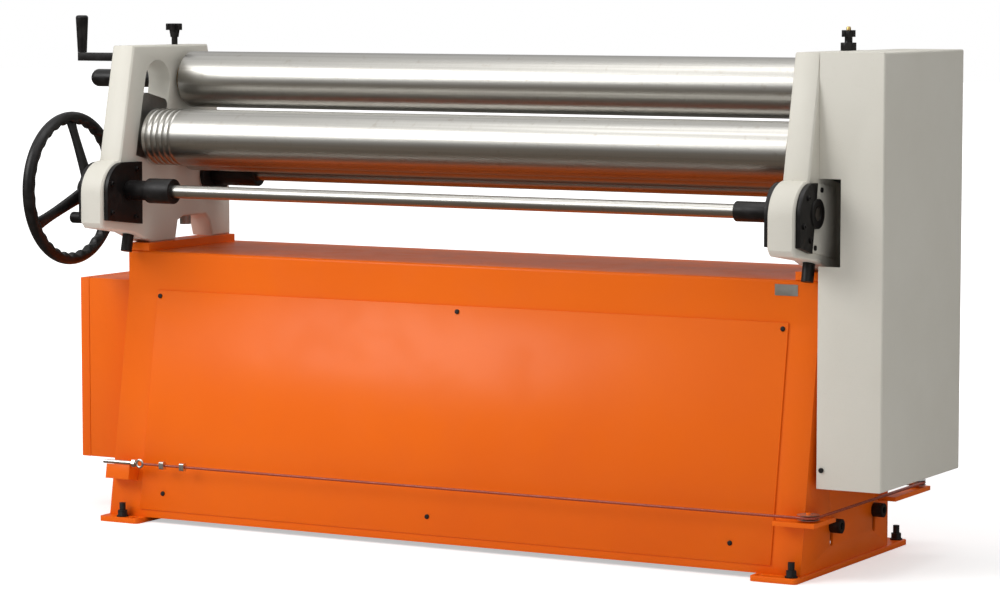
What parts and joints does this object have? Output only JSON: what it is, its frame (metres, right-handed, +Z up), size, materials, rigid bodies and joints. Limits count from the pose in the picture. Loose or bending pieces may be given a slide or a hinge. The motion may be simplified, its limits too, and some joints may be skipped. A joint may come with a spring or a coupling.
{
  "type": "slip roll machine",
  "caption": "Floor-standing powered slip roll: two pinch rolls and a tilting-slide bending roll between end housings on a sheet stand, with handwheel, gear cover and trip rope.",
  "frame": {"origin": "on the floor, at the middle of the four floor-bolt holes in the foot plates", "axes": "+X along the rolls towards the gear cover, +Z up, the operator stands at -Y"},
  "size_m": [1.795, 0.6605, 0.978],
  "materials": {
    "orange_paint": "gloss paint",
    "cream_paint": "fine texture paint",
    "black_steel": "blackened",
    "ground_steel": "ground and lightly oiled",
    "machined_steel": "machined",
    "bronze": "turned",
    "black_plastic": "moulded",
    "zinc_steel": "zinc plated",
    "grey_paint": "satin paint",
    "rope_steel": "stranded wire rope in a red sleeve"
  },
  "bodies": {
    "frame": {"stand_body": "orange_paint", "front_panel": "orange_paint", "panel_screws": "black_steel", "foot_plate_left": "orange_paint", "foot_plate_right": "orange_paint", "levelling_screws": "black_steel", "housing_pads": "orange_paint", "housing_left": "cream_paint", "housing_right": "cream_paint", "top_roll_bushes": "bronze", "bearing_plates": "black_steel", "lock_rod": "black_steel", "crank_bracket": "black_steel", "gearbox": "grey_paint", "drive_motor": "grey_paint", "motor_shelf": "grey_paint", "gear_cover": "cream_paint", "cover_spacers": "orange_paint", "guard_plate": "cream_paint", "cover_screws": "black_steel", "cabinet_body": "orange_paint", "cabinet_hinges": "black_steel", "slot_bolts": "black_steel", "blank_plate": "zinc_steel", "trip_rope": "rope_steel", "rope_fittings": "zinc_steel", "rope_brackets": "orange_paint", "trip_switch": "black_plastic"},
    "top_roll": {"top_roll": "ground_steel", "top_roll_grip": "black_plastic", "top_gear": "machined_steel"},
    "front_carriage": {"front_block_left": "machined_steel", "front_block_right": "machined_steel", "front_jack_screws": "black_steel"},
    "front_roll": {"front_roll": "ground_steel"},
    "lower_carriage": {"lower_block_left": "machined_steel", "lower_block_right": "machined_steel", "lower_jack_screws": "machined_steel"},
    "lower_roll": {"lower_roll": "ground_steel", "lower_gear": "machined_steel"},
    "drive_pinion": {"drive_pinion": "machined_steel"},
    "handwheel": {"handwheel": "black_plastic", "front_cross_shaft": "ground_steel", "front_shaft_collars": "black_steel", "front_lift_gears": "machined_steel"},
    "rear_shaft": {"rear_cross_shaft": "ground_steel", "rear_shaft_coupling": "black_steel", "rear_lift_gears": "machined_steel"},
    "front_nut_left": {"front_jack_nut_left": "bronze"},
    "front_nut_right": {"front_jack_nut_right": "bronze"},
    "lower_nut_left": {"lower_jack_nut_left": "bronze"},
    "lower_nut_right": {"lower_jack_nut_right": "bronze"},
    "crank": {"crank_arm": "black_steel"},
    "crank_grip": {"crank_grip": "black_plastic"},
    "star_knob": {"star_knob": "black_plastic"},
    "top_screw_knob": {"top_screw_knob": "black_plastic"},
    "cabinet_door": {"cabinet_door": "orange_paint"},
    "front_pulley": {"front_pulley": "zinc_steel"},
    "rear_pulley": {"rear_pulley": "zinc_steel"}
  },
  "joints": [
    {"name": "top_roll_spin", "type": "hinge", "parent": "frame", "child": "top_roll", "pos_m": [0, 0, 0.852], "axis": [1, 0, 0], "continuous": true},
    {"name": "lower_slide", "type": "slide", "parent": "frame", "child": "lower_carriage", "axis": [0, 0, 1], "range_m": [0, 0.008]},
    {"name": "lower_roll_spin", "type": "hinge", "parent": "lower_carriage", "child": "lower_roll", "pos_m": [0, 0, 0.727], "axis": [1, 0, 0], "continuous": true},
    {"name": "front_slide", "type": "slide", "parent": "frame", "child": "front_carriage", "axis": [0, 0.225, 0.9744], "range_m": [0, 0.044]},
    {"name": "front_roll_spin", "type": "hinge", "parent": "front_carriage", "child": "front_roll", "pos_m": [0, -0.125, 0.743], "axis": [1, 0, 0], "continuous": true},
    {"name": "drive_pinion_spin", "type": "hinge", "parent": "frame", "child": "drive_pinion", "pos_m": [0, 0.108, 0.852], "axis": [1, 0, 0], "continuous": true},
    {"name": "handwheel_turn", "type": "hinge", "parent": "frame", "child": "handwheel", "pos_m": [0, -0.213, 0.643], "axis": [1, 0, 0], "range_deg": [0, 1702]},
    {"name": "rear_shaft_turn", "type": "hinge", "parent": "frame", "child": "rear_shaft", "pos_m": [0, 0.09, 0.662], "axis": [1, 0, 0], "range_deg": [0, 310]},
    {"name": "front_nut_left_turn", "type": "hinge", "parent": "frame", "child": "front_nut_left", "pos_m": [-0.723, -0.15137, 0.62877], "axis": [0, 0.225, 0.9744], "range_deg": [0, 3169]},
    {"name": "front_nut_right_turn", "type": "hinge", "parent": "frame", "child": "front_nut_right", "pos_m": [0.723, -0.15137, 0.62877], "axis": [0, 0.225, 0.9744], "range_deg": [0, 3169]},
    {"name": "lower_nut_left_turn", "type": "hinge", "parent": "frame", "child": "lower_nut_left", "pos_m": [-0.723, 0.027, 0.662], "axis": [0, 0, 1], "range_deg": [0, 577]},
    {"name": "lower_nut_right_turn", "type": "hinge", "parent": "frame", "child": "lower_nut_right", "pos_m": [0.723, 0.027, 0.662], "axis": [0, 0, 1], "range_deg": [0, 577]},
    {"name": "crank_swing", "type": "hinge", "parent": "frame", "child": "crank", "pos_m": [-0.76, -0.132, 0.889], "axis": [0, 0, 1], "range_deg": [-85, 85]},
    {"name": "crank_grip_spin", "type": "hinge", "parent": "crank", "child": "crank_grip", "pos_m": [-0.855, -0.132, 0.905], "axis": [0, 0, 1], "continuous": true},
    {"name": "star_knob_turn", "type": "hinge", "parent": "frame", "child": "star_knob", "pos_m": [-0.723, -0.005, 0.935], "axis": [0, 0, 1], "range_deg": [-360, 360]},
    {"name": "top_screw_turn", "type": "hinge", "parent": "frame", "child": "top_screw_knob", "pos_m": [0.723, -0.005, 0.935], "axis": [0, 0, 1], "range_deg": [-360, 360]},
    {"name": "cabinet_door_swing", "type": "hinge", "parent": "frame", "child": "cabinet_door", "pos_m": [-0.862, 0.156, 0.279], "axis": [0, 0, -1], "range_deg": [0, 110]},
    {"name": "front_pulley_spin", "type": "hinge", "parent": "frame", "child": "front_pulley", "pos_m": [0.749, -0.221, 0.116], "axis": [0, 0, 1], "continuous": true},
    {"name": "rear_pulley_spin", "type": "hinge", "parent": "frame", "child": "rear_pulley", "pos_m": [0.749, 0.265, 0.116], "axis": [0, 0, 1], "continuous": true}
  ],
  "couplings": [
    {"joint": "lower_roll_spin", "follows": "top_roll_spin", "ratio": -1},
    {"joint": "drive_pinion_spin", "follows": "top_roll_spin", "ratio": -1.25},
    {"joint": "handwheel_turn", "follows": "front_slide", "rad_per_m": 675},
    {"joint": "front_nut_left_turn", "follows": "front_slide", "rad_per_m": 1256.6},
    {"joint": "front_nut_right_turn", "follows": "front_slide", "rad_per_m": 1256.6},
    {"joint": "rear_shaft_turn", "follows": "lower_slide", "rad_per_m": 675},
    {"joint": "lower_nut_left_turn", "follows": "lower_slide", "rad_per_m": 1256.6},
    {"joint": "lower_nut_right_turn", "follows": "lower_slide", "rad_per_m": 1256.6}
  ]
}
